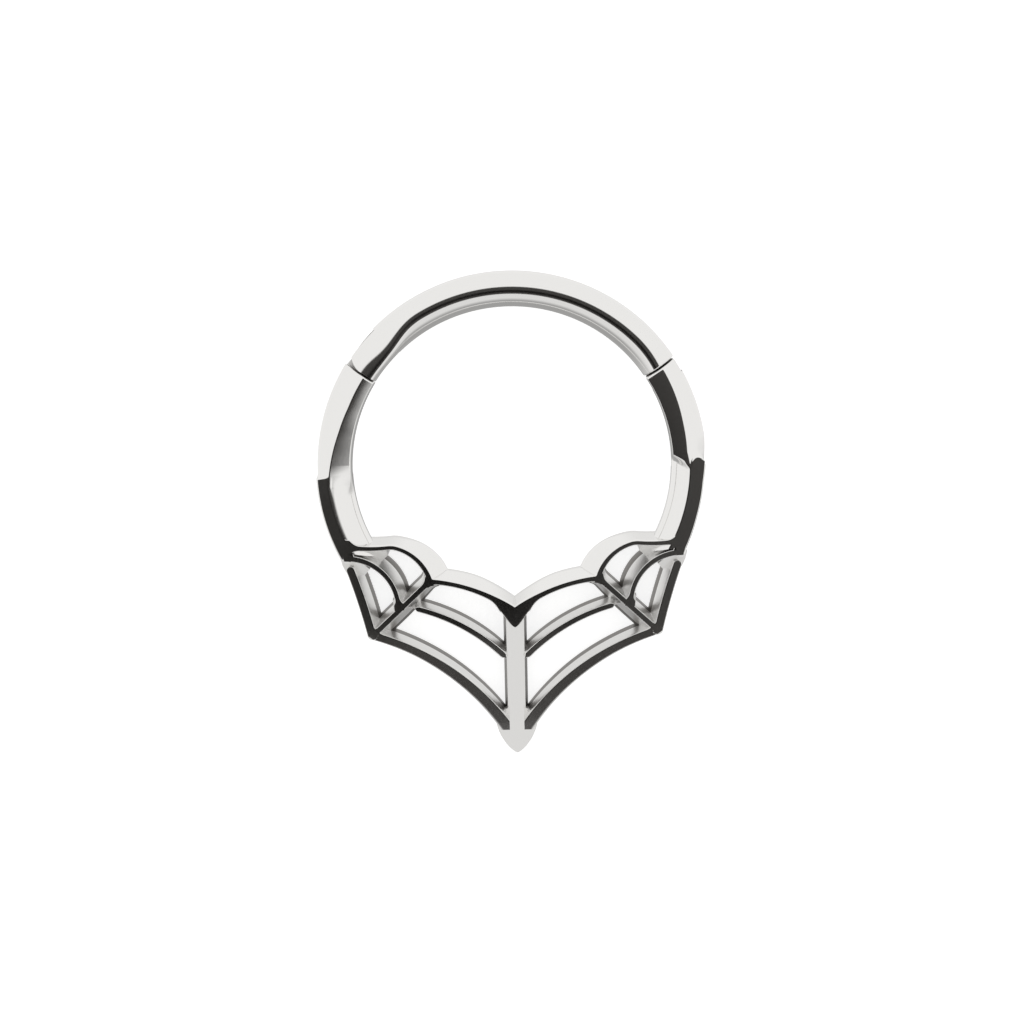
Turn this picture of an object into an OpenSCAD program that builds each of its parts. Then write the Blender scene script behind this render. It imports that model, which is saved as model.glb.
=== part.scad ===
// Clicker ring with a pierced spider-web front, lying on its flat back with its front up.
// Millimetres. The ring's axis is Z and the web points towards -Y.
// The origin is under the middle of the whole ring, on the surface that it rests on.

/* [Ring] */
// Diameter of the round wire
wire_d = 1.2; // [1.1:0.05:1.3]
// Clear opening of the ring
opening_d = 11; // [10:0.25:12]
// Angle of both cuts above the ring's level line
cut_angle = 33.6; // [28:0.2:36]

/* [Hinge and closure] */
// Distance from the hinge's cut to the middle of its pin
pivot_back = 0.9; // [0.88:0.01:1]
// Radius of the ears' round outer sides
ear_r = 0.86; // [0.75:0.01:0.87]
// Diameter of the hinge pin
pin_d = 0.4; // [0.3:0.02:0.5]
// Gap round the pin in the tongue that turns on it
pin_gap = 0.03; // [0.02:0.005:0.05]
// Gap round the pin in the two ears that hold it
seat_gap = 0.01; // [0.005:0.005:0.02]
// Thickness of both tongues
tongue_t = 0.36; // [0.3:0.02:0.44]
// Gap on each side of a tongue
tongue_gap = 0.04; // [0.03:0.005:0.06]
// Gap between the two faces of a cut
cut_gap = 0.05; // [0.03:0.01:0.08]
// Length of the closing tongue
catch_len = 0.5; // [0.4:0.05:0.7]

/* [Web] */
// Slope of the web's front from its corners to its tip
front_slope = 3; // [2:0.5:4]
// Slope of the middle spoke's face
spoke_slope = 9.5; // [8:0.5:11]
// Width of the middle spoke
spoke_w = 0.66; // [0.5:0.02:0.8]
// Height of the upright rim at the back of each rail
rim_h = 0.15; // [0.1:0.05:0.3]

/* [Hidden] */
$fn = 96;
steel = [0.80, 0.80, 0.79];
pin_steel = [0.70, 0.70, 0.71];

wire_r = wire_d / 2;
ring_r = (opening_d + wire_d) / 2;
inner_r = ring_r - wire_r;
outer_r = ring_r + wire_r;
big = 3 * outer_r;

// The web's plan is drawn from the ring's centre for an 11 mm opening and grows with it.
grow = opening_d / 11;
tip_y = -10.36 * grow;
ring_y = -(tip_y + outer_r) / 2;

// Rails of the web's left half, each an arc whose middle stands off its chord by the bulge, to
// the left of the run. The flanks spread from the land on the front to the rim at the back.
FROM = 0; TO = 1; BULGE = 2; RUN_ON = 3; LAND = 4; LEFT = 5; RIGHT = 6;
rails = [
    // start, end, bulge, run-on at both ends, land, flank left of the run, flank right of it
    [[-5.70, -2.58], [-4.20, -2.63], -0.05, [0.10, 0.05], 0.12, 0.12, 0.12], // shoulder
    [[-5.68, -2.95], [-4.00, -4.60],  0.47, [0.15, 0.10], 0.14, 0.20, 0.10], // outer middle
    [[-3.45, -4.80], [-0.35, -6.62],  0.25, [0.20, 0.10], 0.17, 0.05, 0.12], // middle
    [[-4.93, -5.75], [-0.30, -9.25],  0.63, [0.05, 0.15], 0.25, 0.04, 0.10], // bottom
    [[-5.80, -3.05], [-4.97, -5.74],  0.10, [0.10, 0.05], 0.27, 0.18, 0.04]  // outer edge
];

// The two brows along the opening, whose opening flanks widen and narrow along the run.
BROW_LAND = 3; BROW_LEFT = 4; BROW_RIGHT = 5;
brows = [
    // start, end, bulge, land, left flank at the start, middle and end, flank right of the run
    [[-4.25, -2.62], [-2.90, -3.87], 0.28, 0.12, [0.12, 0.38, 0.52], 0.12],
    [[-3.00, -3.83], [ 0.00, -4.98], 0.23, 0.14, [0.16, 0.22, 0.08], 0.12]
];
brow_steps = 12;

// The straight side spoke, from the cusp between the brows to the corner
spoke_top = [-2.90, -3.84];
corner = [-4.93, -5.72];
side_land = 0.16;
side_left = 0.46;
side_right = 0.12;
cusp_r = 0.15;
corner_r = 0.17;

// Solid fillings in the narrow ends of the cells beside the arm, lower than the rails
fill_h = 0.75;
fillings = [
    [[-5.90, -2.60], [-4.42, -2.66], [-4.36, -2.98], [-4.80, -3.16], [-5.60, -3.00]],
    [
        [-5.97, -2.96], [-5.30, -3.10], [-5.02, -3.45], [-5.18, -3.62], [-5.60, -3.62],
        [-5.80, -3.50], [-5.91, -3.25]
    ]
];

// The middle spoke ends in a drop, between the ends of the bottom rails and the tip.
drop_top = -9.05;
drop_w = 1.52;
drop_steps = 16;
drop_lap = 0.2;

// The land where the two inner brows meet, and its round foot on the middle spoke
vee_w = 0.62;
vee_top = -4.92;
vee_foot = -5.54;
vee_foot_r = 0.12;
vee_lean = 60;
vee_steps = 8;
vee_notch = [0.1, 0.14];

// Level where the web's front starts to fall towards its tip
slope_top = -5.02;

// Squared lower part of each arm, from arm_top to arm_end in degrees above the level line.
// Its corners are bevelled, and its inner side stands upright to the height arm_wall only.
arm_top = -3;
arm_end = -27;
arm_wall = 0.60;
arm_inset = 0.03;
arm_back_bevel = [0.22, 0.25];
arm_bevel = 0.15;
arm_edge = 0.06;

// Hinge and closure
tongue_r = 0.46;
slot_t = tongue_t + 2 * tongue_gap;
half_gap = asin(cut_gap / 2 / ring_r);
pin_foot = 0.03;
pin_top = 1.0;

// Arc of a rail: its radius, its centre and the angles of its two ends
function left_of(v) = [-v[1], v[0]] / norm(v);
function arc_r(c, s) = (c * c / 4 + s * s) / (2 * abs(s));
function arc_mid(p, q, s) =
    (p + q) / 2 - left_of(q - p) * (arc_r(norm(q - p), s) * sign(s) - s);
function bearing(v) = atan2(v[1], v[0]);
function turn(a) = a > 180 ? a - 360 : a <= -180 ? a + 360 : a;

// Value at t in a list of three values: at the start, the middle and the end of a run
function blend3(v, t) =
    v[0] * (1 - t) * (1 - 2 * t) + 4 * v[1] * t * (1 - t) + v[2] * t * (2 * t - 1);

// Section across a run, as distance outwards and height. dir is 1 where the left of the run
// is its outside and -1 where it is its inside.
function section(land, left, right, dir) = [
    [dir * land / 2, wire_d],
    [dir * (land / 2 + left), rim_h],
    [dir * (land / 2 + left), 0],
    [-dir * (land / 2 + right), 0],
    [-dir * (land / 2 + right), rim_h],
    [-dir * land / 2, wire_d]
];

module at_centre() {
    translate([0, ring_y, 0]) children();
}

module both_halves() {
    children();
    mirror([1, 0, 0]) children();
}

module wire(from, to) {
    rotate_extrude(start = from, angle = to - from)
        translate([ring_r, wire_r]) circle(wire_r);
}

module rail(row) {
    p = row[FROM] * grow;
    q = row[TO] * grow;
    s = row[BULGE] * grow;
    mid = arc_mid(p, q, s);
    r = arc_r(norm(q - p), s);
    deg = 180 / (PI * r);
    way = -sign(s);
    first = bearing(p - mid) - way * row[RUN_ON][0] * deg;
    sweep = turn(bearing(q - mid) - bearing(p - mid)) + way * (row[RUN_ON][0] + row[RUN_ON][1]) * deg;
    translate([mid[0], mid[1], 0])
        rotate_extrude(start = way > 0 ? first : first + sweep, angle = abs(sweep))
            translate([r, 0])
                polygon(section(row[LAND], row[LEFT], row[RIGHT], sign(s)));
}

// A brow is a run of flat-sided slices along its arc.
module brow(row) {
    p = row[FROM] * grow;
    q = row[TO] * grow;
    s = row[BULGE] * grow;
    mid = arc_mid(p, q, s);
    r = arc_r(norm(q - p), s);
    first = bearing(p - mid);
    sweep = turn(bearing(q - mid) - first);
    points = [
        for (i = [0:brow_steps])
            let (t = i / brow_steps, a = first + sweep * t)
                for (c = section(row[BROW_LAND], blend3(row[BROW_LEFT], t), row[BROW_RIGHT], 1))
                    [mid[0] + (r + c[0]) * cos(a), mid[1] + (r + c[0]) * sin(a), c[1]]
    ];
    sides = [
        for (i = [0:brow_steps - 1], k = [0:5])
            let (a = 6 * i + k, b = 6 * i + (k + 1) % 6)
                each [[a, b, a + 6], [b, b + 6, a + 6]]
    ];
    last = 6 * brow_steps;
    polyhedron(points, concat(
        [[5, 4, 3, 2, 1, 0]],
        sides,
        [[last, last + 1, last + 2, last + 3, last + 4, last + 5]]
    ));
}

module side_spoke() {
    p = spoke_top * grow;
    q = corner * grow;
    translate([p[0], p[1], 0])
        rotate([0, 0, bearing(q - p)])
            rotate([90, 0, 90])
                linear_extrude(norm(q - p))
                    polygon(section(side_land, side_left, side_right, 1));
}

module boss(p, r) {
    translate([p[0] * grow, p[1] * grow, 0]) cylinder(h = wire_d, r = r);
}

module web_half() {
    for (row = rails) rail(row);
    for (row = brows) brow(row);
    side_spoke();
    boss(spoke_top, cusp_r);
    boss(corner, corner_r);
    for (plan = fillings)
        linear_extrude(fill_h) polygon(plan * grow);
}

// Squared section of the lower arm: a land outside, and a flank down to the opening
module lower_arm() {
    rotate_extrude(start = 180 - arm_top, angle = arm_top - arm_end)
        polygon([
            [inner_r + arm_inset, arm_back_bevel[1]],
            [inner_r + arm_inset + arm_back_bevel[0], 0],
            [outer_r - arm_bevel, 0],
            [outer_r, arm_bevel],
            [outer_r, wire_d - arm_bevel],
            [outer_r - arm_edge, wire_d],
            [ring_r, wire_d],
            [inner_r + arm_inset, arm_wall]
        ]);
}

// Everything above a plane that falls towards -Y from the level y
module above(y, slope) {
    translate([0, y, wire_d])
        rotate([slope, 0, 0])
            translate([-big / 2, -big, 0]) cube([big, big, big]);
}

// Outline of the drop: half its width is drop_w / 2 * (1 - t^1.6)^0.7, with t from 0 to 1
// between its top and the tip.
function drop_side(dir) = [
    for (i = [0:drop_steps - 1])
        let (t = i / drop_steps)
            [dir * drop_w / 2 * pow(1 - pow(t, 1.6), 0.7), drop_top * grow * (1 - t) + tip_y * t]
];
function reversed(v) = [for (i = [len(v) - 1:-1:0]) v[i]];

// Outline of the vee: shoulders under the brows, sides that lean in, and the round foot
function vee_plan() =
    let (c = [0, vee_foot * grow + vee_foot_r], side = vee_top * grow - vee_notch[1] / 2)
    concat(
        [
            [-vee_w / 2, side - vee_notch[1] / 2], [-vee_notch[0], side + vee_notch[1] / 2],
            [vee_notch[0], side + vee_notch[1] / 2], [vee_w / 2, side - vee_notch[1] / 2]
        ],
        [
            for (i = [0:vee_steps])
                let (a = -90 + vee_lean - 2 * vee_lean * i / vee_steps)
                    c + vee_foot_r * [cos(a), sin(a)]
        ]
    );

module middle_spoke() {
    difference() {
        union() {
            translate([-spoke_w / 2, drop_top * grow - drop_lap, 0])
                cube([spoke_w, (vee_top - drop_top) * grow, wire_d]);
            linear_extrude(wire_d)
                polygon(concat(drop_side(-1), [[0, tip_y]], reversed(drop_side(1))));
        }
        above(vee_top * grow, spoke_slope);
    }
    linear_extrude(wire_d) polygon(vee_plan());
}

// The pivot's own frame: x points outwards and y along the ring towards the hinge's cut
module at_pivot() {
    a = 180 - cut_angle - asin(pivot_back / ring_r);
    rotate([0, 0, a])
        translate([ring_r, 0, 0]) children();
}

module web_body() {
    color(steel)
    at_centre()
    difference() {
        union() {
            difference() {
                both_halves() web_half();
                above(slope_top * grow, front_slope);
            }
            middle_spoke();
            both_halves() lower_arm();
            wire(180 - cut_angle, 181 - arm_top);
            wire(arm_top - 1, cut_angle - half_gap);
            // hinge tongue
            at_pivot()
                translate([0, 0, wire_r - tongue_t / 2]) {
                    cylinder(h = tongue_t, r = tongue_r);
                    translate([-tongue_r, 0, 0])
                        cube([2 * tongue_r, pivot_back + 0.2, tongue_t]);
                }
        }
        // bore for the pin
        at_pivot()
            translate([0, 0, -wire_d]) cylinder(h = 3 * wire_d, r = pin_d / 2 + pin_gap);
        // slot for the closing tongue
        rotate([0, 0, cut_angle])
            translate([inner_r - wire_d, -catch_len - cut_gap, wire_r - slot_t / 2])
                cube([3 * wire_d, catch_len + wire_d, slot_t]);
    }
}

module hinged_segment() {
    color(steel)
    at_centre()
    difference() {
        union() {
            wire(cut_angle + half_gap, 180 - cut_angle - 2 * half_gap);
            // closing tongue
            rotate([0, 0, cut_angle])
                translate([ring_r - tongue_r, -catch_len, wire_r - tongue_t / 2])
                    cube([2 * tongue_r, catch_len + 0.3, tongue_t]);
        }
        at_pivot() {
            // round outer side of the ears, which swings past the arm
            difference() {
                translate([0, 0, -wire_d]) cube([wire_d, 2 * wire_d, 3 * wire_d]);
                translate([0, 0, -2 * wire_d]) cylinder(h = 5 * wire_d, r = ear_r);
            }
            // slot between the ears
            translate([-wire_d, -tongue_r - tongue_gap, wire_r - slot_t / 2])
                cube([2 * wire_d, 3 * wire_d, slot_t]);
            // seat of the pin
            translate([0, 0, -wire_d])
                cylinder(h = wire_d + pin_top + seat_gap, r = pin_d / 2 + seat_gap);
        }
    }
}

module hinge_pin() {
    color(pin_steel)
    at_centre()
    at_pivot()
        translate([0, 0, pin_foot]) cylinder(h = pin_top - pin_foot, r = pin_d / 2);
}

web_body();
hinged_segment();
hinge_pin();
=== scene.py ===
import bpy
import numpy as np
from mathutils import Matrix, Vector


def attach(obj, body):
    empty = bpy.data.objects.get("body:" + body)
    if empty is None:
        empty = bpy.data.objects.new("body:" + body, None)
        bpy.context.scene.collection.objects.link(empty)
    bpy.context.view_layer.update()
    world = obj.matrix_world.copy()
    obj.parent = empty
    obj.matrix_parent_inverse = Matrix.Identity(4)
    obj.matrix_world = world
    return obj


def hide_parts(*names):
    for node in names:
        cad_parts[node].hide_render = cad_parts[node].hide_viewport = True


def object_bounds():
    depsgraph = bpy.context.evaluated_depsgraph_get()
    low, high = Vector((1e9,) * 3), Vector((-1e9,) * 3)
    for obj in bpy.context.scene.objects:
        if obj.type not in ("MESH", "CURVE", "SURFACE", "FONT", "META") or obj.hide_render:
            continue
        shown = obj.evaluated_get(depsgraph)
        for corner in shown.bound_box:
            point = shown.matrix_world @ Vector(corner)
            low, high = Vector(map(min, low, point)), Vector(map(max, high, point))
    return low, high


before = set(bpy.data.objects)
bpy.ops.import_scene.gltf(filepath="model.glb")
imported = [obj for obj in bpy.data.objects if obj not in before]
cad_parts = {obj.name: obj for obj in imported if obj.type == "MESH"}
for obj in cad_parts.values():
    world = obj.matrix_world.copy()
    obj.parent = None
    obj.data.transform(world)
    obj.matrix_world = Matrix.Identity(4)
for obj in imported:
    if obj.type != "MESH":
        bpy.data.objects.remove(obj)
cad_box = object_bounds()

# The ring as it lies: a circle of round steel wire, face up, with the pierced web at its
# foot. The circle's centre lies off the middle of the whole ring, because the web's point
# reaches further out than the wire.
mm = 0.001
low, high = (np.array(corner) for corner in cad_box)
wire = 1.2 * mm
wire_r = wire / 2
outer_r = (high[0] - low[0]) / 2
ring_r = outer_r - wire_r
ring_y = high[1] - outer_r

# The camera: a short way off the ring's axis, and turned a little, as the ring hangs
# slightly askew in the picture.
aim_x, aim_y = -0.03 * mm, -1.57 * mm
aim = Vector((aim_x, ring_y + aim_y, wire_r))
camera_away = 50 * mm
camera_lift = np.radians(10)
camera_roll = np.radians(1.15)
photo_width = 1024
pixel = 0.0347 * mm
to_camera = Vector((0, np.sin(camera_lift), np.cos(camera_lift)))
level_up = Vector((0, np.cos(camera_lift), -np.sin(camera_lift)))
level_right = Vector((1, 0, 0))
picture_right = level_right * np.cos(camera_roll) - level_up * np.sin(camera_roll)
picture_up = level_right * np.sin(camera_roll) + level_up * np.cos(camera_roll)
camera_data = bpy.data.cameras.new("camera")
camera_data.sensor_width = 36
camera_data.lens = camera_data.sensor_width * camera_away / (pixel * photo_width)
camera_data.clip_start = 1 * mm
camera_data.clip_end = 10
camera = bpy.data.objects.new("camera", camera_data)
bpy.context.collection.objects.link(camera)
camera_place = Matrix((picture_right, picture_up, to_camera)).transposed().to_4x4()
camera_place.translation = aim + to_camera * camera_away
camera.matrix_world = camera_place
bpy.context.scene.camera = camera
bpy.context.scene.view_settings.view_transform = "Standard"

# The table: a pale board that glows, so that the picture stays white round the ring. The
# steel doesn't mirror it. What shines there is the light tent further below.
table_half = 400 * mm
table_grey = 0.5
table_glow = 0.74
floor_mesh = bpy.data.meshes.new("floor")
floor_corners = [(-1, -1), (1, -1), (1, 1), (-1, 1)]
floor_mesh.from_pydata([(x * table_half, y * table_half, 0) for x, y in floor_corners], [], [range(4)])
floor = bpy.data.objects.new("floor", floor_mesh)
bpy.context.collection.objects.link(floor)
floor_paint = bpy.data.materials.new("pale table")
floor_paint.use_nodes = True
paint = floor_paint.node_tree.nodes["Principled BSDF"]
paint.inputs["Base Color"].default_value = (table_grey, table_grey, table_grey, 1)
paint.inputs["Roughness"].default_value = 0.9
paint.inputs["Specular IOR Level"].default_value = 0
paint.inputs["Emission Color"].default_value = (1, 1, 1, 1)
paint.inputs["Emission Strength"].default_value = table_glow
floor_mesh.materials.append(floor_paint)
floor.visible_glossy = False

# The dark screen: a round cloth that hangs high over the ring. The polished flats that face
# it turn black. It thins out at its rim, and is darkest in its folds, near the middle.
screen_height = 150 * mm
screen_lean = np.radians(-6.3)
screen_half = np.radians(23.4)
screen_r = screen_height * np.tan(screen_half)
screen_fade = (0.86, 1.10)
screen_rim = screen_r * screen_fade[1]
screen_sides = 96
screen_mesh = bpy.data.meshes.new("screen")
turns = np.linspace(0, 2 * np.pi, screen_sides, endpoint=False)
rim_points = screen_rim * np.c_[np.cos(turns), np.sin(turns), 0 * turns]
screen_mesh.from_pydata(rim_points.tolist(), [], [range(screen_sides)])
screen = bpy.data.objects.new("screen", screen_mesh)
bpy.context.collection.objects.link(screen)
to_screen = Vector((0, np.sin(screen_lean), np.cos(screen_lean)))
facing = to_screen.to_track_quat("Z", "Y").to_matrix().to_4x4()
screen.matrix_world = Matrix.Translation(aim + to_screen * screen_height) @ facing
screen.visible_camera = False
screen.visible_diffuse = False
screen.visible_shadow = False


class Link:
    """A node socket that takes part in Python arithmetic."""

    def __init__(self, tree, socket):
        self.tree, self.socket = tree, socket

    def maths(self, operation, *others):
        sockets = dict(enumerate((self,) + others))
        return node(self.tree, "ShaderNodeMath", {"operation": operation}, sockets)

    def __add__(self, other):
        return self.maths("ADD", other)

    def __mul__(self, other):
        return self.maths("MULTIPLY", other)

    def __sub__(self, other):
        return self.maths("SUBTRACT", other)

    def __rsub__(self, other):
        return (self * -1).maths("ADD", other)

    __radd__, __rmul__ = __add__, __mul__


def node(tree, kind, settings=(), sockets=(), output=0):
    """Adds one node: its settings first, then the values or links of its sockets."""
    made = tree.nodes.new(kind)
    for name, value in dict(settings).items():
        setattr(made, name, value)
    for name, value in dict(sockets).items():
        if isinstance(value, Link):
            tree.links.new(value.socket, made.inputs[name])
        else:
            made.inputs[name].default_value = value
    return Link(tree, made.outputs[output])


def ease(tree, value, start, end, low=0.0, high=1.0):
    """Smooth change from low to high while value goes from start to end."""
    return node(tree, "ShaderNodeMapRange", {"interpolation_type": "SMOOTHSTEP"},
                {"Value": value, "From Min": start, "From Max": end, "To Min": low, "To Max": high})


OBJECT_OUT, VALUE_OUT, COLOUR_OUT = 3, 1, 2
FIRST_COLOUR, SECOND_COLOUR = 6, 7
folds = (-6 * mm, -13 * mm, 0)
folds_end, open_start = 8 * mm, 32 * mm
folds_black, open_black = (0.007, 0.0065, 0.006, 1), (0.045, 0.043, 0.041, 1)
cloth = bpy.data.materials.new("dark screen")
cloth.use_nodes = True
weave = cloth.node_tree
on_screen = node(weave, "ShaderNodeTexCoord", output=OBJECT_OUT)
from_middle = node(weave, "ShaderNodeVectorMath", {"operation": "LENGTH"}, {0: on_screen}, VALUE_OUT)
thinning = ease(weave, from_middle, screen_r * screen_fade[0], screen_rim, 1.0, 0.0)
from_folds = node(weave, "ShaderNodeVectorMath", {"operation": "DISTANCE"},
                  {0: on_screen, 1: folds}, VALUE_OUT)
openness = ease(weave, from_folds, folds_end, open_start)
black = node(weave, "ShaderNodeMix", {"data_type": "RGBA"},
             {0: openness, FIRST_COLOUR: folds_black, SECOND_COLOUR: open_black}, COLOUR_OUT)
cloth_shader = weave.nodes["Principled BSDF"]
cloth_shader.inputs["Specular IOR Level"].default_value = 0
weave.links.new(black.socket, cloth_shader.inputs["Base Color"])
weave.links.new(thinning.socket, cloth_shader.inputs["Alpha"])
screen_mesh.materials.append(cloth)

# The light tent: white all round, a little dimmer on the side that the web points to and
# straight below, and grey low down on that side, which darkens the inside of the top arc.
# Each loss sets in between the two values of its range.
tent_white = (1, 0.995, 0.985, 1)
tent_light, side_loss, grey_loss, below_loss = 0.97, 0.15, 0.42, 0.18
side_range, below_range = (0.25, 0.6), (0.84, 0.96)
grey_bearing = np.radians(12)
bearing_range, height_range = (0.2, 0.7), (0.55, 0.1)
tiny = 0.0001
world = bpy.data.worlds.new("light tent")
bpy.context.scene.world = world
world.use_nodes = True
tent = world.node_tree
bearing = node(tent, "ShaderNodeTexCoord")
parts = node(tent, "ShaderNodeSeparateXYZ", {}, {"Vector": bearing}).socket.node
east, north, height = (Link(tent, parts.outputs[axis]) for axis in "XYZ")
level_part = (east * east + north * north + tiny).maths("SQRT")
toward_grey = (east * np.sin(grey_bearing) - north * np.cos(grey_bearing)).maths("DIVIDE", level_part)
dim = ease(tent, north * -1, *side_range) * side_loss
grey = ease(tent, toward_grey, *bearing_range) * ease(tent, height, *height_range) * grey_loss
below = ease(tent, height * -1, *below_range) * below_loss
brightness = tent_light - dim - grey - below
tent.nodes["Background"].inputs["Color"].default_value = tent_white
tent.links.new(brightness.socket, tent.nodes["Background"].inputs["Strength"])


# The web casting: one piece of surgical steel with both lower arms and the pierced web. It
# is cast, and its front and outside are polished on a wheel that hardly reaches into the
# cells, so their walls stay satin. The feet of the walls carry painted shade: dark steel.
def steel(name, colour, roughness):
    """Surgical steel: its roughness wanders with broad waves from the wheel and with a fine
    grain, and both lift the surface by a hair."""
    wave_scale, grain_scale = 900.0, 9000.0
    wave_part, grain_part = 0.05, 0.03
    grain_height, bump_strength, bump_distance = 0.15, 0.02, 0.02 * mm
    made = bpy.data.materials.new(name)
    made.use_nodes = True
    tree = made.node_tree
    shader = tree.nodes["Principled BSDF"]
    shader.inputs["Metallic"].default_value = 1
    shader.inputs["Base Color"].default_value = (*colour, 1)
    where = node(tree, "ShaderNodeTexCoord", output=OBJECT_OUT)
    waves = node(tree, "ShaderNodeTexNoise", {}, {"Vector": where, "Scale": wave_scale, "Detail": 2.0})
    grain = node(tree, "ShaderNodeTexNoise", {}, {"Vector": where, "Scale": grain_scale, "Detail": 3.0})
    rough = roughness + waves * wave_part + grain * grain_part - (wave_part + grain_part) / 2
    tree.links.new(rough.socket, shader.inputs["Roughness"])
    relief = waves + grain * grain_height
    bump = node(tree, "ShaderNodeBump", {},
                {"Height": relief, "Strength": bump_strength, "Distance": bump_distance})
    tree.links.new(bump.socket, shader.inputs["Normal"])
    return made


body_steel = steel("polished steel", (0.84, 0.835, 0.825), 0.08)
satin_steel = steel("satin steel", (0.80, 0.795, 0.785), 0.30)
# Steel with painted shade: a dark base colour that stands in for the shade at the feet of the cell walls and
# in the narrow gaps of the hinge and the closure.
shade_painted_steel = steel("steel painted with shade", (0.23, 0.22, 0.21), 0.42)
ground_steel = steel("ground steel", (0.88, 0.875, 0.865), 0.8)
finishes = (body_steel, satin_steel, shade_painted_steel, ground_steel)
POLISHED, SATIN, PAINTED_SHADE, GROUND = range(4)


def solid(name, points, faces, face_finishes):
    """A closed piece from a list of points and its faces, with the number of each face's
    finish. Every piece carries all four finishes, so that joined pieces keep theirs."""
    mesh = bpy.data.meshes.new(name)
    mesh.from_pydata(points, [], faces)
    for material in finishes:
        mesh.materials.append(material)
    mesh.polygons.foreach_set("material_index", face_finishes)
    mesh.update()
    made = bpy.data.objects.new(name, mesh)
    bpy.context.collection.objects.link(made)
    return made


def tube(name, grid, strip_finishes=POLISHED, end_finish=POLISHED):
    """A closed tube from grid[station, round the section] with flat ends. strip_finishes is
    the finish of all strips along the tube, or of each one."""
    stations, around = grid.shape[:2]
    i, k = np.meshgrid(np.arange(stations - 1), np.arange(around), indexing="ij")
    after = (k + 1) % around
    corners = (i * around + k, i * around + after, (i + 1) * around + after, (i + 1) * around + k)
    faces = np.stack(corners, -1).reshape(-1, 4).tolist()
    faces.append(list(range(around))[::-1])
    faces.append([(stations - 1) * around + n for n in range(around)])
    along = np.tile(np.broadcast_to(strip_finishes, around), stations - 1)
    face_finishes = np.r_[along, end_finish, end_finish].astype("int32")
    return solid(name, grid.reshape(-1, 3).tolist(), faces, face_finishes)


def block(name, bottom, top, finish_of):
    """A closed block between two outlines with as many points, both counter-clockwise."""
    count = len(bottom)
    ring = np.arange(count)
    after = (ring + 1) % count
    faces = [ring[::-1].tolist(), (ring + count).tolist()]
    faces += np.c_[ring, after, after + count, ring + count].tolist()
    points = np.r_[bottom, top].tolist()
    return solid(name, points, faces, np.full(len(faces), finish_of, "int32"))


def placed(plan, z):
    """Points drawn in millimetres from the ring's centre, with their heights, in metres."""
    grid = np.concatenate([plan, z[..., None]], -1)
    grid[..., 1] += ring_y / mm
    return grid * mm


def prism(name, plan, tops, finish_of=POLISHED):
    """An upright block on the table with the plan's outline and its top at the heights in
    tops, which is one height or one for each point."""
    plan = np.array(plan)
    table = 0 * plan[:, 0]
    return block(name, placed(plan, table), placed(plan, tops + table), finish_of)


def combine(target, others, operation):
    """Joins the other pieces to the target, or cuts them from it, and applies the result."""
    for other in others:
        step = target.modifiers.new("combine", "BOOLEAN")
        step.operation = operation
        step.solver = "MANIFOLD"
        step.object = other
    view = bpy.context.evaluated_depsgraph_get()
    result = bpy.data.meshes.new_from_object(target.evaluated_get(view))
    target.modifiers.clear()
    target.data = result
    for other in others:
        bpy.data.objects.remove(other)


# The web's rails are drawn in millimetres from the ring's centre. Each has a flat land on
# the front, a rounded edge, a flank that spreads to the back, and a rounded rim there.
land_z = wire / mm
slope_top, slope_start, front_slope = -5.3, 1.0, np.radians(3)
vee_top, spoke_slope = -4.92, np.radians(9.5)
edge_r, rim_r, rim_z, rim_wall = 0.025, 0.04, 0.15, 0.03
thinnest = 0.002


def front_height(y):
    """Height of the lands: level down to slope_top, then with past the distance beyond it and
    L = slope_start, falling as past^2 / 2L times the slope up to L, and straight from there."""
    past = np.maximum(0, slope_top - y)
    bend = np.minimum(past, slope_start)
    return land_z - np.tan(front_slope) * (bend ** 2 / (2 * slope_start) + past - bend)


def spoke_height(y):
    """Height of the middle spoke's face: it falls by spoke_slope from vee_top."""
    return land_z - np.tan(spoke_slope) * np.maximum(0, vee_top - y)


def rows(*columns):
    """The columns side by side, with single numbers repeated to their length."""
    return np.stack(np.broadcast_arrays(*columns), -1)


# Half of a rail's section, from the land's middle over the flank to the back's middle. Each
# point has its share of the land's half-width, its share of the back's, an offset and a
# height: u = share * land + share * back + offset.
land_at = np.array((0, 0.35, 0.7))
edge_turn = np.radians(np.linspace(0, 80, 7))
flank_at = np.array((0.15, 0.35, 0.55, 0.70, 0.82))
rim_turn = np.radians(np.linspace(0, 90, 6))
half_section = np.concatenate((
    rows(land_at, 0, -land_at * edge_r, land_z),
    rows(1, 0, edge_r * (np.sin(edge_turn) - 1), land_z - edge_r * (1 - np.cos(edge_turn))),
    rows(1 - flank_at, flank_at, 0, land_z - edge_r - flank_at * (land_z - edge_r - rim_z)),
    rows(0, 1, 0, np.array((rim_z, rim_r + rim_wall))),
    rows(0, 1, rim_r * (np.cos(rim_turn) - 1), rim_r * (1 - np.sin(rim_turn))),
    rows(0, np.array((0.6, 0)), 0, 0)))
flank_start = len(land_at) + len(edge_turn) - 1
lower_flank = flank_start + len(flank_at) - 1
back_start = -3


def finish_round(left, right, flank=SATIN):
    """The finish of each strip of a rail's section. A side whose number is 1 stands in a cell:
    its flank has the given finish and its foot carries painted shade. A side whose number is 0 is polished."""
    strips = np.full(len(half_section), POLISHED)
    strips[flank_start:] = flank
    # The foot of a flank that stands in a cell carries painted shade.
    strips[lower_flank:back_start] = PAINTED_SHADE
    strips[back_start:] = POLISHED
    strips = strips[:-1]
    return np.r_[strips * left, strips[::-1] * right]


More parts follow.
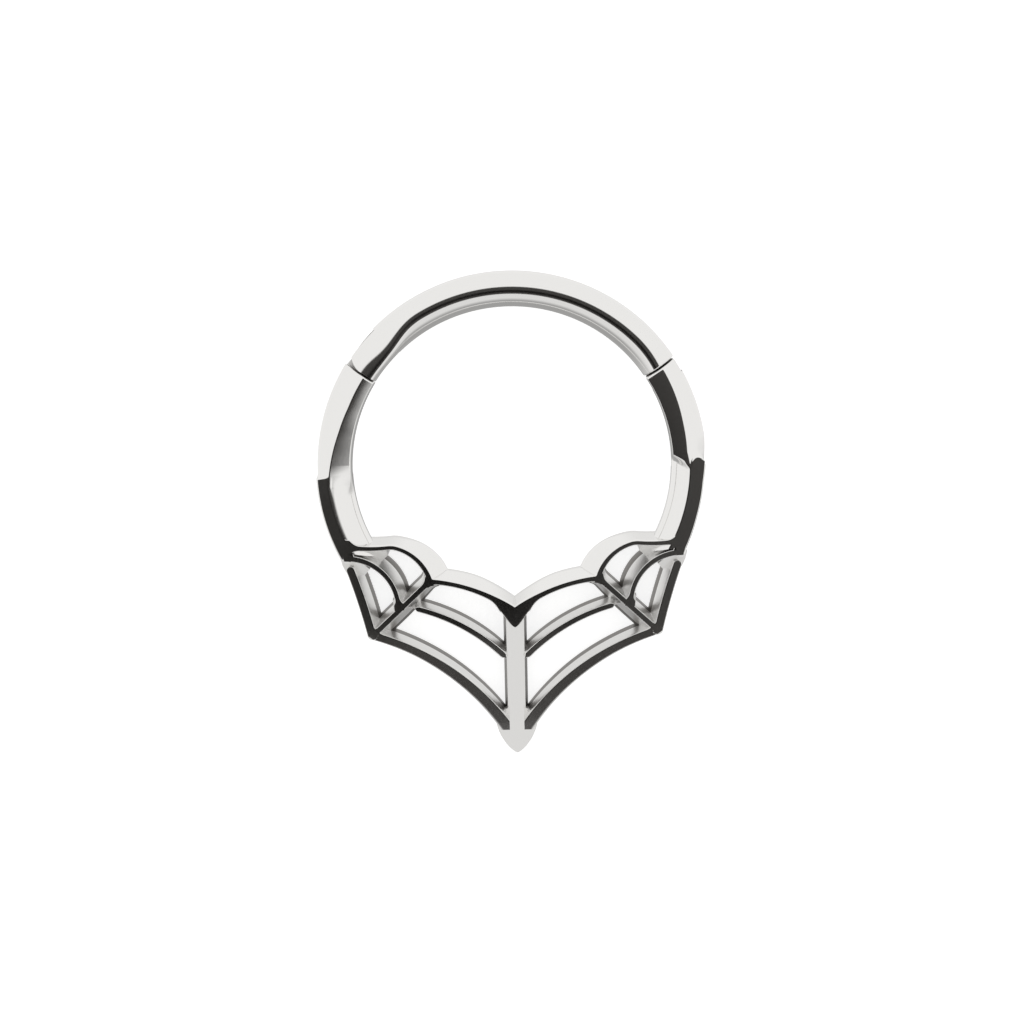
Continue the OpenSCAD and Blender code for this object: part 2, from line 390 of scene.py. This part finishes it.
def rail(points, normals, halves, height):
    """A rail carried along its points. halves holds the half-widths of the land and the back on
    the left of the run, then on the right. The lands follow height(y), and all else of the
    section stands lower in the same share. The run is turned round, to face outwards."""
    sides = []
    for way, (land, back) in zip((1, -1), halves):
        land = np.maximum(land, thinnest)[:, None]
        back = np.maximum(back, thinnest)[:, None]
        narrow = np.minimum(land / edge_r, 1)
        u = half_section[:, 0] * land + half_section[:, 1] * back + half_section[:, 2] * narrow
        sides.append(way * np.maximum(u, 0))
    u = np.concatenate([sides[0], sides[1][:, -2:0:-1]], 1)
    z = np.r_[half_section[:, 3], half_section[-2:0:-1, 3]]
    plan = points[:, None] + normals[:, None] * u[..., None]
    return placed(plan, z * height(plan[..., 1]) / land_z)[::-1]


def mirrored(grid):
    """The same grid on the other half of the web, still facing outwards."""
    return (grid * np.array((-1, 1, 1)))[:, ::-1]


def arc(start, end, bulge, count):
    """Points on the arc from start to end whose middle stands off the chord by bulge to the
    left. Its radius is (chord^2 / 4 + bulge^2) / 2 bulge."""
    start, end = np.array(start), np.array(end)
    chord = end - start
    span = np.hypot(*chord)
    left = np.array((-chord[1], chord[0])) / span
    radius = (span ** 2 / 4 + bulge ** 2) / (2 * bulge)
    centre = (start + end) / 2 - left * (radius - bulge)
    first = np.arctan2(*(start - centre)[::-1])
    sweep = -2 * np.arcsin(span / 2 / radius)
    angle = np.linspace(first, first + sweep, count)
    return centre + abs(radius) * np.c_[np.cos(angle), np.sin(angle)]


def between(values, t):
    """A smooth change through evenly spaced values while t goes from 0 to 1: straight lines
    between them, averaged over an eighth of the run to either side."""
    width = 0.125
    at = np.linspace(0, 1, len(values))
    shifts = np.linspace(-width, width, 9)[:, None]
    return np.interp(t + shifts, at, values).mean(0)


def flare(t, length, at_start, at_end, widest):
    """Widening where a rail meets its neighbour: half the fillet's reach times the square of
    the share of it that is left, at each end of the run, up to a widest value."""
    least = 1e-6
    near_start = np.clip(1 - t * length / max(at_start, least), 0, 1)
    near_end = np.clip(1 - (1 - t) * length / max(at_end, least), 0, 1)
    return np.minimum(0.5 * (at_start * near_start ** 2 + at_end * near_end ** 2), widest)


stations = 64
stop_length, stop_depth = 0.12, 0.995
smoothings = 6


def web_rail(name, arcs, run_on, land, left, right, fillets, stops=(0, 0), cells=(1, 1), widest=0.17):
    """A rail of the left half and its mirror image. Each of arcs has a start, an end and a bulge.
    They are joined in a smooth line, which runs on straight at both ends into the neighbours.
    land holds the land's widths along the run, left and right how far each flank spreads, and
    fillets, for the left and for the right, how far those at the start and the end reach. They
    widen the rail by no more than widest. stops says at which ends the land's width closes as
    sqrt(1 - s^2), where s grows to stop_depth over the last stop_length before a wall, and
    cells says which flanks stand in a cell."""
    runs = [arc(*each, stations) for each in arcs]
    line = np.concatenate([runs[0]] + [run[1:] for run in runs[1:]])
    step = np.hypot(*np.diff(line, axis=0).T)
    along = np.r_[0, np.cumsum(step)]
    length = along[-1]
    before = line[0] - (line[1] - line[0]) / step[0] * run_on[0]
    beyond = line[-1] + (line[-1] - line[-2]) / step[-1] * run_on[1]
    line = np.r_[[before], line, [beyond]]
    along = np.r_[-run_on[0], along, length + run_on[1]]
    place = -run_on[0] + (length + sum(run_on)) * np.linspace(0, 1, stations)
    points = np.c_[np.interp(place, along, line[:, 0]), np.interp(place, along, line[:, 1])]
    for _ in range(smoothings):
        points[1:-1] = (points[:-2] + 2 * points[1:-1] + points[2:]) / 4
    course = np.gradient(points, axis=0)
    normals = np.c_[-course[:, 1], course[:, 0]] / np.hypot(*course.T)[:, None]
    t = np.clip(place / length, 0, 1)
    to_wall = np.stack((place, length - place)) / stop_length
    closing = np.sqrt(1 - np.clip(1 - to_wall, 0, stop_depth) ** 2)
    closing = np.where(np.array(stops)[:, None], closing, 1).prod(0)
    half_land = between(land, t) / 2
    halves = []
    for spread, reaches in zip((left, right), fillets):
        foot = flare(t, length, *reaches, widest)
        land_reaches = [reach * (1 - stop) for reach, stop in zip(reaches, stops)]
        on_land = flare(t, length, *land_reaches, widest)
        halves.append(((half_land + on_land) * closing, half_land + foot + between(spread, t)))
    grid = rail(points, normals, halves, front_height)
    strips = finish_round(*cells)
    return [tube(name, grid, strips), tube(name, mirrored(grid), np.roll(strips[::-1], -1))]


web_parts = web_rail(
    "brow", [((-5.70, -2.60), (-4.20, -2.62), -0.05), ((-4.20, -2.62), (-2.90, -3.87), 0.26)],
    run_on=(0.15, 0.02), land=(0.20, 0.17, 0.16, 0.18, 0.21), left=(0.12, 0.12, 0.12, 0.34, 0.52),
    right=(0.12, 0.12, 0.12), fillets=((0.4, 0), (0.4, 0.3)), cells=(0, 1))
web_parts += web_rail(
    "inner_brow", [((-2.95, -3.85), (0.00, -4.98), 0.23)],
    run_on=(0.12, 0.05), land=(0.20, 0.18, 0.20, 0.30), left=(0.16, 0.22, 0.08),
    right=(0.12, 0.12, 0.12), fillets=((0, 0), (0.3, 1.05)), cells=(0, 1), widest=0.16)
web_parts += web_rail(
    "outer_middle", [((-5.76, -2.99), (-4.04, -4.66), 0.47)],
    run_on=(0.10, 0.20), land=(0.22, 0.19, 0.19), left=(0.16, 0.28, 0.28),
    right=(0.12, 0.10, 0.10), fillets=((0.2, 0.25), (0, 0.15)))
web_parts += web_rail(
    "outer_edge", [((-5.69, -3.28), (-4.99, -5.72), 0.04)],
    run_on=(0, 0), land=(0.30, 0.32, 0.32), left=(0.20, 0.20, 0.20),
    right=(0.04, 0.04, 0.04), fillets=((0, 0.3), (0, 0)), stops=(1, 0), cells=(1, 0))
web_parts += web_rail(
    "side_spoke", [((-2.92, -3.84), (-4.93, -5.72), 0.0005)],
    run_on=(0, 0), land=(0.22, 0.21, 0.22), left=(0.28, 0.40, 0.40),
    right=(0.14, 0.14, 0.14), fillets=((0.3, 0.2), (0.3, 0.3)))
web_parts += web_rail(
    "middle", [((-3.45, -4.80), (-0.35, -6.62), 0.25)],
    run_on=(0.4, 0.05), land=(0.20, 0.215, 0.23), left=(0.05, 0.05, 0.05),
    right=(0.10, 0.10, 0.10), fillets=((0.25, 0.3), (0, 0)), stops=(1, 1))

# The bottom rails run into the sides of the middle spoke. Their ends are cut off square there,
# along the spoke and level at the foot.
end_x, end_y = -0.26, -9.31
far_x, outer_x, near_y, below_y = 2, -1.5, -7, -11
clear_of_web = 3
bottom_rails = web_rail(
    "bottom", [((-4.93, -5.75), (end_x, -9.36), 0.53)],
    run_on=(0, 0.30), land=(0.30, 0.31, 0.37, 0.40, 0.46), left=(0.05, 0.05, 0.05),
    right=(0.1, 0.1, 0.1), fillets=((0.3, 0.3), (0, 0)), cells=(1, 0))
cut_off = [(far_x, below_y), (far_x, near_y), (end_x, near_y), (end_x, end_y), (outer_x, end_y),
           (outer_x, below_y)]
other_side = [(-x, y) for x, y in cut_off[::-1]]
for bottom_rail, outline in zip(bottom_rails, (cut_off, other_side)):
    combine(bottom_rail, [prism("end_wall", outline, clear_of_web)], "DIFFERENCE")
web_parts += bottom_rails

# Round bosses fill the corners where three rails meet. Each is a plug through the web's whole
# thickness, hardly tapered, with a broken edge at the top, which follows the lands.
boss_sides = 40
boss_turns = np.linspace(0, 2 * np.pi, boss_sides, endpoint=False)
boss_plan = np.c_[np.cos(boss_turns), np.sin(boss_turns)]
boss_wider = np.array((0.02, 0, -0.007, -0.025))
boss_z = np.array((0.04, land_z - 0.03, land_z - 0.008, land_z))
for name, centre, boss_r in (("cusp", (-2.91, -3.88), 0.16), ("corner", (-4.955, -5.71), 0.20),
                             ("shoulder", (-5.72, -2.93), 0.22)):
    plan = np.array(centre) + boss_plan * (boss_r + boss_wider)[:, None, None]
    grid = placed(plan, boss_z[:, None] * front_height(plan[..., 1]) / land_z)
    web_parts += [tube(name, grid), tube(name, mirrored(grid))]

# The narrow ends of the cells beside the arm are filled with metal, whose top falls away
# from the rail above by the given share of the distance below start.
filling_top = 1.14
for name, plan, start, share in (
        ("shoulder_filling",
         [(-5.60, -3.05), (-4.62, -3.20), (-4.36, -2.95), (-4.40, -2.66), (-5.85, -2.62)], -2.70, 0.85),
        ("edge_filling",
         [(-5.93, -3.25), (-5.83, -3.52), (-5.62, -3.66), (-5.16, -3.62), (-5.00, -3.42),
          (-5.30, -3.10), (-5.99, -2.95)], -3.05, 0.42)):
    plan = np.array(plan)
    tops = filling_top + share * np.minimum(0, plan[:, 1] - start)
    web_parts.append(prism(name, plan, tops, SATIN))
    web_parts.append(prism(name, plan[::-1] * (-1, 1), tops[::-1], SATIN))

# The middle spoke runs down the web's middle. Its face lies a little lower than the lands
# and leans towards the light, and its bevelled sides carry painted shade.
spoke_half, spoke_bevel, spoke_start, spoke_overlap = 0.41, 0.09, -5.1, 0.3
spoke_stations = 60
drop_top = -9.12


def upright(name, y, half, bevel, height, in_cells):
    """A symmetrical rail down the web's middle, half as wide as given at each y, with a land
    that is narrower by the bevel on both sides. Its sides carry painted shade if in_cells is 1."""
    points = np.c_[0 * y, y]
    normals = np.tile((1.0, 0.0), (len(y), 1))
    grid = rail(points, normals, ((half - bevel, half), (half - bevel, half)), height)
    web_parts.append(tube(name, grid, finish_round(in_cells, in_cells, PAINTED_SHADE)))


spoke_y = np.linspace(spoke_start, drop_top - spoke_overlap, spoke_stations)
spoke_halves = np.full(spoke_stations, spoke_half)
upright("middle_spoke", spoke_y, spoke_halves, spoke_bevel, spoke_height, 1)

# The spoke ends in a drop: half its width is drop_half * (1 - t^belly)^point, with t from 0
# to 1 between its top and the tip, under a neck that swells smoothly. In the photo the tip
# stands out a little further than in the CAD.
drop_half, belly, point = 0.76, 1.6, 0.7
edge_bevel, tip_further = 0.02, 0.06
neck_half, neck_top, swell_start, swell_length = 0.26, -8.4, -8.5, 0.55
tip = (low[1] - ring_y) / mm - tip_further
neck_y = np.linspace(neck_top, drop_top, 24)[:-1]
drop_y = drop_top + (tip - drop_top) * np.sin(np.linspace(0, np.pi / 2, 60))
y = np.r_[neck_y, drop_y]
t = np.clip((drop_top - y) / (drop_top - tip), 0, 1)
swell = np.clip((swell_start - y) / swell_length, 0, 1)
neck = neck_half + (drop_half - neck_half) * swell ** 2 * (3 - 2 * swell)
drop = drop_half * (1 - t ** belly) ** point
upright("drop", y, np.where(y > drop_top, neck, drop), edge_bevel, spoke_height, 0)

# The dark land where the inner brows meet: its sides lean in to a round foot on the spoke.
# With s from 0 at the top to 1, half its width is (vee_half - vee_lean * s) times
# sqrt(1 - s^vee_foot_power).
vee_start, vee_foot = -4.93, -5.54
vee_half, vee_lean, vee_foot_power = 0.52, 0.43, 12
s = np.sin(np.linspace(0, np.pi / 2, 48))
half = (vee_half - vee_lean * s) * np.sqrt(np.clip(1 - s ** vee_foot_power, 0, 1))
upright("vee", vee_start + (vee_foot - vee_start) * s, half + edge_bevel, edge_bevel, front_height, 0)

# The arms are cast with the web as round wire, and dressed with a file to a crease along the
# front. Above the ring's level line the inner side of the crease is nearly flat; below it the
# outer side is, and ends in an upright wall.
cut_angle = np.radians(33.6)
cut_gap = 0.05 * mm
half_gap = np.arcsin(cut_gap / 2 / ring_r)
arm_end, web_reach = np.radians((-27, -19))
arm_rounding = 0.09 * mm
OUT_N, FACE_N, TURN_N, BACK_N = 34, 22, 14, 34


def upper_section(crease, outer_tilt, inner_tilts, face_end):
    """Half of the upper arm's section from its outer edge over the front to its inner edge,
    in wire radii: an oval flank that meets the crease at outer_tilt, then a facet down to
    face_end, whose tilt at the share f of its width is the first of inner_tilts plus f^0.25
    times the way to the second, then a quick turn down to the edge."""
    a = np.linspace(np.pi / 2, outer_tilt, OUT_N)
    size = (1 - crease) / (1 - np.sin(outer_tilt))
    u = crease + size * (np.sin(a) - np.sin(outer_tilt))
    z = 1 - (np.cos(outer_tilt) - np.cos(a)) / np.cos(outer_tilt)
    f = np.linspace(0, 1, FACE_N + 1)[1:]
    tilt = inner_tilts[0] + (inner_tilts[1] - inner_tilts[0]) * f ** 0.25
    face_u = crease + (face_end - crease) * f
    face_z = 1 - np.cumsum(np.tan(tilt)) * (crease - face_end) / FACE_N
    b = np.linspace(0, np.pi / 2, TURN_N + 1)[1:]
    turn_u = face_end - (1 + face_end) * np.sin(b)
    turn_z = face_z[-1] * np.cos(b)
    return np.c_[np.r_[u, face_u, turn_u], np.r_[z, face_z, turn_z]]


def lower_section(crease, first_tilt):
    """Half of the lower arm's section in wire radii: an upright outer wall, a rounded edge,
    a level facet to the crease, then a flank down to the inner edge. The flank's steps turn
    evenly from first_tilt to nearly upright. They are then stretched to the inner edge across and
    to the wire's middle in height, which makes the real tilts gentler."""
    wall_n = OUT_N // 4
    edge, inner_edge, last_tilt = 0.10, 0.99, np.radians(88)
    a = np.linspace(0, np.pi / 2, wall_n)
    u = np.r_[np.full(wall_n, 1.0), 1 - edge + edge * np.cos(a)]
    z = np.r_[np.linspace(0, 1 - edge, wall_n, endpoint=False), 1 - edge + edge * np.sin(a)]
    flat = np.linspace(0, 1, OUT_N - 2 * wall_n + 1)[1:]
    u = np.r_[u, 1 - edge + (crease - 1 + edge) * flat]
    z = np.r_[z, np.full(len(flat), 1.0)]
    b = first_tilt + (last_tilt - first_tilt) * np.linspace(0, 1, FACE_N + TURN_N + 1)[1:]
    run, drop = np.cumsum(np.cos(b)), np.cumsum(np.sin(b))
    return np.c_[np.r_[u, crease - (crease + inner_edge) * run / run[-1]], np.r_[z, 1 - drop / drop[-1]]]


def back_half(squareness):
    """The back of a section in wire radii, from the inner edge to the outer: half a circle
    with its cosine and sine raised to the power 1 - 0.35 * squareness, which is squarer."""
    b = np.linspace(np.pi, 2 * np.pi, BACK_N + 2)[1:-1]
    way = np.c_[np.cos(b), np.sin(b)]
    return np.abs(way) ** (1 - 0.35 * squareness) * np.sign(way)


def bent(angles, section, rounding_r, rounded):
    """Sections carried round the ring's centre. The piece's first or last edge is rounded off
    where rounded has a 1: with d the distance from that end and R = rounding_r, the section
    shrinks by R - sqrt(R^2 - (R - d)^2). Beyond web_reach the wire's inner side runs on by up
    to 5 degrees more into the web."""
    further, inner_start = np.radians(5), 0.2
    from_ends = np.stack((angles - angles[0], angles[-1] - angles)) * ring_r
    inset = rounding_r - np.sqrt(np.maximum(rounding_r ** 2 - np.maximum(rounding_r - from_ends, 0) ** 2, 0))
    scale = 1 - (inset * np.array(rounded)[:, None]).sum(0) / wire_r
    section = section * wire_r * scale[:, None, None]
    off_centre = ring_r + section[..., 0]
    into_web = np.clip((web_reach - angles) / (web_reach - arm_end), 0, 1)[:, None] ** 2
    a = angles[:, None] - further * into_web * np.clip(inner_start - section[..., 0] / wire_r, 0, 1)
    return np.stack([off_centre * np.cos(a), off_centre * np.sin(a) + ring_y, section[..., 1] + wire_r], -1)


def arm_sections(angles, creases, face_ends, inner_tilts, first_tilt, outer_switch, inner_switch,
                 rise=0.0, slow=1, slant=0.0, waist=((0, 1), (0, 0))):
    """Sections of an arm from its foot to the cut. creases, face_ends and inner_tilts, in
    degrees, hold values at given heights in millimetres above the ring's level line. The arm
    changes from the upper section to the lower one between the two heights of a switch. The
    outer side's bulges up by rise * 4u(1 - u), with u from 0 at the edge to 1 at the crease,
    and gives way to the inner side's between u = 1 and u = 1.25. The inner side's climbs by
    slant across the facet, and starts slowly, with its share raised to the power slow. The
    outer side is thinner by the share that waist gives at each height."""
    outer_tilt = np.radians(12)
    crossover = 4
    sections = []
    for level in ring_r / mm * np.sin(angles):
        crease = np.interp(level, *creases)
        face_end = np.interp(level, *face_ends)
        tilts = [np.interp(level, inner_tilts[0], np.radians(each)) for each in inner_tilts[1:]]
        upper = upper_section(crease, outer_tilt, tilts, face_end)
        lower = lower_section(crease, first_tilt)
        u = (1 - upper[:, 0]) / (1 - crease)
        lift = rise * 4 * np.clip(u, 0, 1) * np.clip(1 - u, 0, 1)
        outer = (outer_switch[0] + lift - level) / (outer_switch[0] - outer_switch[1])
        v = np.clip((crease - upper[:, 0]) / (crease - face_end), 0, 1)
        inner = (inner_switch[0] + slant * v - level) / (inner_switch[0] - inner_switch[1])
        inner = np.clip(inner, 0, 1) ** slow
        across = np.clip((u - 1) * crossover, 0, 1)
        share = np.clip(outer * (1 - across) + inner * across, 0, 1)
        share = (share * share * (3 - 2 * share))[:, None]
        whole = np.r_[upper * (1 - share) + lower * share, back_half(share[0, 0])]
        thinner = 1 - np.interp(level, *waist)
        whole[:, 0] = np.where(whole[:, 0] > 0, whole[:, 0] * thinner, whole[:, 0])
        sections.append(whole)
    return np.array(sections)


def spaced(start, end, marks, count):
    """Angles from start to end, closer together near the marks and both ends: the density is
    1 plus closer * exp(-(d / near)^2), with d the distance from each of them in radians."""
    closer, near, samples = 12, 0.02, 2000
    t = np.linspace(start, end, samples)
    density = 1 + sum(closer * np.exp(-((t - mark) / near) ** 2) for mark in (*marks, start, end))
    total = np.cumsum(density)
    return np.interp(np.linspace(total[0], total[-1], count), total, t)


arm_stations = 150
right_angles = spaced(arm_end, cut_angle - half_gap, [0.0, 0.04, 0.09, 0.13], arm_stations)
right_sections = arm_sections(
    right_angles,
    creases=((-2.7, -0.1, 0.5, 1.5, 2.6, 3.2), (-0.04, -0.02, -0.20, -0.15, -0.03, 0.03)),
    face_ends=((0.2, 3.2), (-0.975, -0.95)), inner_tilts=((0, 1), (0.5, 0.5), (1.8, 1.8)),
    first_tilt=np.radians(24), outer_switch=(-0.02, -0.14), inner_switch=(0.16, -0.18),
    rise=0.42, slant=0.3, waist=((-2.7, -1.6, -0.5, 0.2, 0.9), (0.15, 0.21, 0.21, 0.12, 0)))
left_angles = spaced(arm_end, cut_angle, [-0.06, 0.0, 0.06], arm_stations)
left_sections = arm_sections(
    left_angles,
    creases=((-2.7, -0.5, 1.4, 2.3, 3.2), (0.22, 0.36, -0.16, -0.32, -0.36)),
    face_ends=((0.2, 3.2), (-0.93, -0.93)),
    inner_tilts=((-0.1, 0.25, 0.8, 1.2, 2.3, 3.2), (15.8, 14.7, 14.0, 13.4, 12.0, 11.5),
                 (16.0, 14.9, 14.7, 14.75, 15.3, 15.4)),
    first_tilt=np.radians(25), outer_switch=(-0.06, -0.18), inner_switch=(0.25, -0.9), slow=2)
right_grid = bent(right_angles, right_sections, arm_rounding, (0, 1))
left_grid = bent(left_angles, left_sections, arm_rounding, (0, 1))
# The cut ends of the arms carry painted shade, dark like the narrow gaps at the hinge and the closure.
right_arm = tube("right_arm", right_grid[::-1], end_finish=PAINTED_SHADE)
left_arm = tube("left_arm", mirrored(left_grid[::-1]), end_finish=PAINTED_SHADE)
web_parts += [right_arm, left_arm]

# The hinge and the closure work inside the wire: a flat tongue stands out of the left arm
# and is bored for the pin, and the right arm is slotted for the segment's closing tongue.
pivot_back = 0.9 * mm
tongue_t, tongue_gap, tongue_r = 0.36 * mm, 0.04 * mm, 0.46 * mm
tongue_root = 0.2 * mm
pin_r, pin_gap = 0.2 * mm, 0.03 * mm
catch_length = 0.5 * mm
far = 3 * wire
slot_t = tongue_t + 2 * tongue_gap
hinge_angle = np.pi - cut_angle
pivot_angle = hinge_angle - np.arcsin(pivot_back / ring_r)


def frame_at(angle):
    """The frame on the wire's middle line at an angle: x outwards, y on along the ring."""
    spot = Matrix.Translation((ring_r * np.cos(angle), ring_r * np.sin(angle) + ring_y, wire_r))
    return spot @ Matrix.Rotation(angle, 4, "Z")


def plate(name, outline, levels, angle, finish_of=POLISHED):
    """An upright block with the outline, between two levels, in the frame at angle."""
    low_face, high_face = (np.c_[outline, np.full(len(outline), z)] for z in levels)
    made = block(name, low_face, high_face, finish_of)
    made.data.transform(frame_at(angle))
    return made


def disc(radius, start=0, end=360, count=64):
    """Points on a circle, or on a part of it, about the frame's middle."""
    a = np.radians(np.linspace(start, end, count, endpoint=end - start < 360))
    return np.c_[radius * np.cos(a), radius * np.sin(a)]


def box(x, y):
    """The corners of a rectangle between two values of x and of y."""
    return [(x[0], y[0]), (x[1], y[0]), (x[1], y[1]), (x[0], y[1])]


tongue_levels = (-tongue_t / 2, tongue_t / 2)
slot_levels = (-slot_t / 2, slot_t / 2)
root_y = pivot_back + tongue_root
tongue_plan = np.r_[disc(tongue_r, 180, 360), [(tongue_r, root_y), (-tongue_r, root_y)]]
tongue = plate("hinge_tongue", tongue_plan, tongue_levels, pivot_angle, GROUND)
bore = plate("bore", disc(pin_r + pin_gap), (-far, far), pivot_angle)
combine(tongue, [bore], "DIFFERENCE")
web_parts.append(tongue)
# The slot's faces carry painted shade, for the shade inside the narrow slot.
catch_slot = plate("slot", box((-far, far), (-catch_length - cut_gap, far)), slot_levels, cut_angle, PAINTED_SHADE)
combine(right_arm, [catch_slot], "DIFFERENCE")

web_body = web_parts[0]
web_body.name = "web_casting"
combine(web_body, web_parts[1:], "UNION")


def finish(piece, body):
    """Smooths the piece's curved surfaces and hands it to its body."""
    sharp = np.radians(35)
    for face in piece.data.polygons:
        face.use_smooth = True
    piece.data.set_sharp_from_angle(angle=sharp)
    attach(piece, body)


finish(web_body, "body")
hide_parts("web_body")

# The segment closes the ring: the same wire, still round except near its ends, where its
# crest leans inwards and is broader. Two ears stand either side of the hinge's tongue, and
# their outer sides are rounded, as they swing past the arm.
ear_r, seat_gap, pin_top = 0.86 * mm, 0.01 * mm, 1.0 * mm
segment_rounding = 0.05 * mm
catch_root = 0.3 * mm
segment_stations, segment_sides = 220, 120
right_lean, right_end, left_end = 0.16, np.radians(12), np.radians(26)
angles = spaced(cut_angle + half_gap, hinge_angle - 2 * half_gap, [pivot_angle], segment_stations)
to_right = np.clip(1 - (angles - cut_angle) / right_end, 0, 1)
to_left = np.clip((hinge_angle - angles) / left_end, 0, 1)
lean = right_lean * to_right ** 2 + between((0.38, 0.44, 0.50, 0.36, 0.08, 0.0), to_left)
broad = between((0.65, 0.60, 0.15, 0.18, 0.03, 0.0), to_left)

# With a the angle round the section, the crest's share is sin(a)^2 on the front half. The
# front moves inwards by lean times it, and swells by broad * (1 - sin(a)) times it.
around = np.linspace(0, 2 * np.pi, segment_sides, endpoint=False)
upward = np.sin(around)
crest = np.maximum(upward, 0) ** 2
u = np.cos(around) - lean[:, None] * crest
z = upward + broad[:, None] * crest * (1 - upward)
segment_grid = bent(angles, np.stack([u, z], -1), segment_rounding, (1, 0))
# The segment's cut ends carry painted shade, for the dark gaps at the closure and the hinge.
segment = tube("segment", segment_grid[::-1], end_finish=PAINTED_SHADE)
catch = plate("catch", box((-tongue_r, tongue_r), (-catch_length, catch_root)), tongue_levels, cut_angle)
combine(segment, [catch], "UNION")
outer_side = [*disc(ear_r, 90, 0, 40), (wire, 0), (wire, 2 * wire), (0, 2 * wire)]
# The faces cut at the hinge end carry painted shade, for the dark gaps between the ears, the tongue and the
# pin.
end_cut = plate("end_cut", outer_side, (-far, far), pivot_angle, PAINTED_SHADE)
ear_slot = plate("slot", box((-wire, wire), (-tongue_r - tongue_gap, far)), slot_levels, pivot_angle, PAINTED_SHADE)
seat = plate("seat", disc(pin_r + seat_gap), (-far, pin_top + seat_gap - wire_r), pivot_angle, PAINTED_SHADE)
combine(segment, [end_cut, ear_slot, seat], "DIFFERENCE")
finish(segment, "segment")
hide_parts("hinged_segment")

# The hinge pin is a plain length of drawn wire with broken edges, pressed into both ears
# from behind. Each ring of it has a height above the table and a share of its radius.
pin_steel = steel("pin steel", (0.55, 0.55, 0.56), 0.3)
pin_foot, pin_edge = 0.03 * mm, 0.01 * mm
pin_heights = (pin_foot, pin_foot + pin_edge, pin_top - pin_edge, pin_top)
pin_shares = (0.85, 1.0, 1.0, 0.85)
pin_rings = [disc(pin_r * share) for share in pin_shares]
pin_grid = np.stack([np.c_[ring, np.full(len(ring), z - wire_r)] for ring, z in zip(pin_rings, pin_heights)])
pin = tube("pin", pin_grid)
pin.data.materials[0] = pin_steel
pin.data.transform(frame_at(pivot_angle))
finish(pin, "segment")
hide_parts("hinge_pin")
